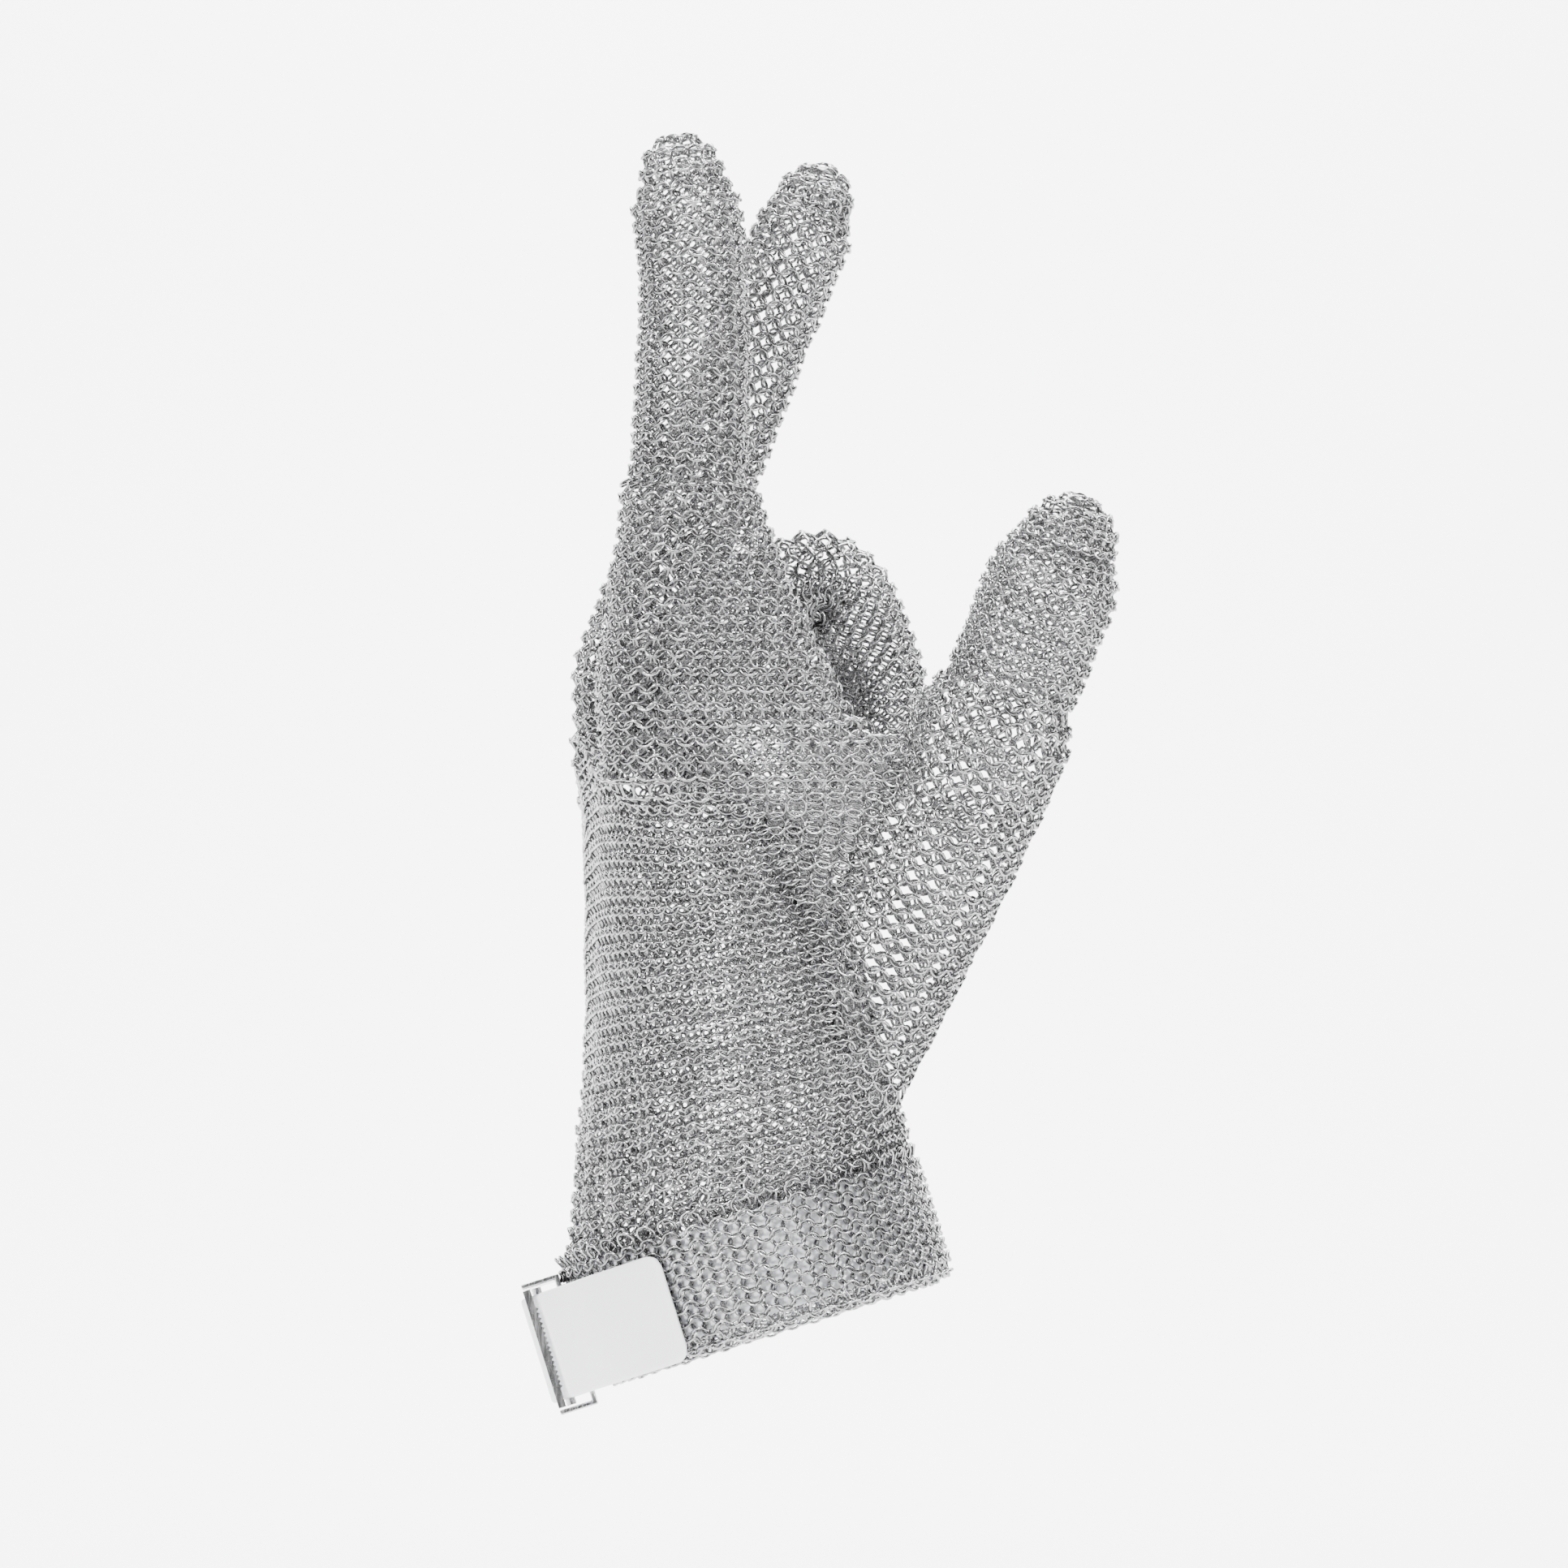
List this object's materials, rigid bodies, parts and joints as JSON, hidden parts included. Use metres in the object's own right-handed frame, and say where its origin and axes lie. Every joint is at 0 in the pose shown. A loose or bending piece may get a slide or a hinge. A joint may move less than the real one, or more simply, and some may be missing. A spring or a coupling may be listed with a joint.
{
  "type": "chain mail glove",
  "caption": "Left-hand butcher's cut-resistant glove of welded steel ring mesh, with a plastic wrist strap in a folded hem and a toothed steel buckle.",
  "frame": {"origin": "centre of the wrist opening's lower rim", "axes": "+X out of the palm, +Y towards the little finger, +Z from the wrist to the fingers"},
  "size_m": [0.0984, 0.104, 0.2291],
  "materials": {
    "mail_steel": "bright stainless ring wire",
    "buckle_steel": "polished stainless sheet",
    "strap_plastic": "smooth white flexible plastic"
  },
  "bodies": {
    "hand": {"wrist_mail": "mail_steel", "palm_panel": "mail_steel", "back_panel": "mail_steel", "thumb_gusset": "mail_steel", "cuff_outer_layer": "mail_steel", "cuff_inner_layer": "mail_steel", "cuff_folded_rim": "mail_steel", "strap_band": "strap_plastic", "buckle_frame": "buckle_steel", "toothed_bar": "buckle_steel", "buckle_pin": "buckle_steel", "strap_rivet": "buckle_steel", "strap_lead": "strap_plastic", "strap_fold": "strap_plastic", "index_knuckle_mail": "mail_steel", "middle_knuckle_mail": "mail_steel", "ring_knuckle_mail": "mail_steel", "little_knuckle_mail": "mail_steel", "thumb_knuckle_mail": "mail_steel"},
    "strap_end": {"strap_tail": "strap_plastic"},
    "index_lower": {"index_lower_sleeve": "mail_steel", "index_joint_mail": "mail_steel"},
    "index_middle": {"index_middle_sleeve": "mail_steel", "index_end_joint_mail": "mail_steel"},
    "index_tip": {"index_tip_sleeve": "mail_steel"},
    "middle_lower": {"middle_lower_sleeve": "mail_steel", "middle_joint_mail": "mail_steel"},
    "middle_middle": {"middle_middle_sleeve": "mail_steel", "middle_end_joint_mail": "mail_steel"},
    "middle_tip": {"middle_tip_sleeve": "mail_steel"},
    "ring_lower": {"ring_lower_sleeve": "mail_steel", "ring_joint_mail": "mail_steel"},
    "ring_middle": {"ring_middle_sleeve": "mail_steel", "ring_end_joint_mail": "mail_steel"},
    "ring_tip": {"ring_tip_sleeve": "mail_steel"},
    "little_lower": {"little_lower_sleeve": "mail_steel", "little_joint_mail": "mail_steel"},
    "little_middle": {"little_middle_sleeve": "mail_steel", "little_end_joint_mail": "mail_steel"},
    "little_tip": {"little_tip_sleeve": "mail_steel"},
    "thumb_lower": {"thumb_lower_sleeve": "mail_steel", "thumb_joint_mail": "mail_steel"},
    "thumb_tip": {"thumb_tip_sleeve": "mail_steel"}
  },
  "joints": [
    {"name": "index_knuckle", "type": "hinge", "parent": "hand", "child": "index_lower", "pos_m": [-0.025, -0.0315, 0.116], "axis": [0, 1, 0], "range_deg": [0, 50], "deforming": ["index_knuckle_mail"]},
    {"name": "index_joint", "type": "hinge", "parent": "index_lower", "child": "index_middle", "pos_m": [-0.01939, -0.0315, 0.16166], "axis": [0, 1, 0], "range_deg": [0, 60], "deforming": ["index_joint_mail"]},
    {"name": "index_end_joint", "type": "hinge", "parent": "index_middle", "child": "index_tip", "pos_m": [-0.01916, -0.0315, 0.18866], "axis": [0, 1, 0], "range_deg": [0, 36], "deforming": ["index_end_joint_mail"]},
    {"name": "middle_knuckle", "type": "hinge", "parent": "hand", "child": "middle_lower", "pos_m": [-0.0294, -0.0102, 0.116], "axis": [0, 1, 0], "range_deg": [-22, 38], "deforming": ["middle_knuckle_mail"]},
    {"name": "middle_joint", "type": "hinge", "parent": "middle_lower", "child": "middle_middle", "pos_m": [-0.01142, -0.0102, 0.16051], "axis": [0, 1, 0], "range_deg": [0, 80], "deforming": ["middle_joint_mail"]},
    {"name": "middle_end_joint", "type": "hinge", "parent": "middle_middle", "child": "middle_tip", "pos_m": [-0.00056, -0.0102, 0.18739], "axis": [0, 1, 0], "range_deg": [0, 48], "deforming": ["middle_end_joint_mail"]},
    {"name": "ring_knuckle", "type": "hinge", "parent": "hand", "child": "ring_lower", "pos_m": [-0.0273, 0.011, 0.1115], "axis": [0, 1, 0], "range_deg": [-54, 8], "deforming": ["ring_knuckle_mail"]},
    {"name": "ring_joint", "type": "hinge", "parent": "ring_lower", "child": "ring_middle", "pos_m": [0.01153, 0.011, 0.13971], "axis": [0, 1, 0], "range_deg": [-98, 2], "deforming": ["ring_joint_mail"]},
    {"name": "ring_end_joint", "type": "hinge", "parent": "ring_middle", "child": "ring_tip", "pos_m": [0.02337, 0.011, 0.11545], "axis": [0, 1, 0], "range_deg": [-34.3, 0.7], "deforming": ["ring_end_joint_mail"]},
    {"name": "little_knuckle", "type": "hinge", "parent": "hand", "child": "little_lower", "pos_m": [-0.0246, 0.0305, 0.104], "axis": [0, 1, 0], "range_deg": [-60, 4], "deforming": ["little_knuckle_mail"]},
    {"name": "little_joint", "type": "hinge", "parent": "little_lower", "child": "little_middle", "pos_m": [0.00744, 0.0305, 0.1225], "axis": [0, 1, 0], "range_deg": [-92, 2], "deforming": ["little_joint_mail"]},
    {"name": "little_end_joint", "type": "hinge", "parent": "little_middle", "child": "little_tip", "pos_m": [0.01674, 0.0305, 0.10256], "axis": [0, 1, 0], "range_deg": [-32.2, 0.7], "deforming": ["little_end_joint_mail"]},
    {"name": "thumb_knuckle", "type": "hinge", "parent": "hand", "child": "thumb_lower", "pos_m": [0.0266, -0.042, 0.096], "axis": [0.9035, -0.1427, -0.4042], "range_deg": [-45, 20], "deforming": ["thumb_knuckle_mail"]},
    {"name": "thumb_joint", "type": "hinge", "parent": "thumb_lower", "child": "thumb_tip", "pos_m": [0.0367, -0.05, 0.1214], "axis": [0.9311, -0.147, -0.3337], "range_deg": [-60, 10], "deforming": ["thumb_joint_mail"]},
    {"name": "strap_tail_lift", "type": "hinge", "parent": "hand", "child": "strap_end", "pos_m": [-0.03999, -0.00494, -0.002], "axis": [-0.284, 0.1334, 0.9495], "range_deg": [-70, 0]}
  ],
  "couplings": [
    {"joint": "index_end_joint", "follows": "index_joint", "ratio": 0.6},
    {"joint": "middle_end_joint", "follows": "middle_joint", "ratio": 0.6},
    {"joint": "ring_end_joint", "follows": "ring_joint", "ratio": 0.35}
  ]
}
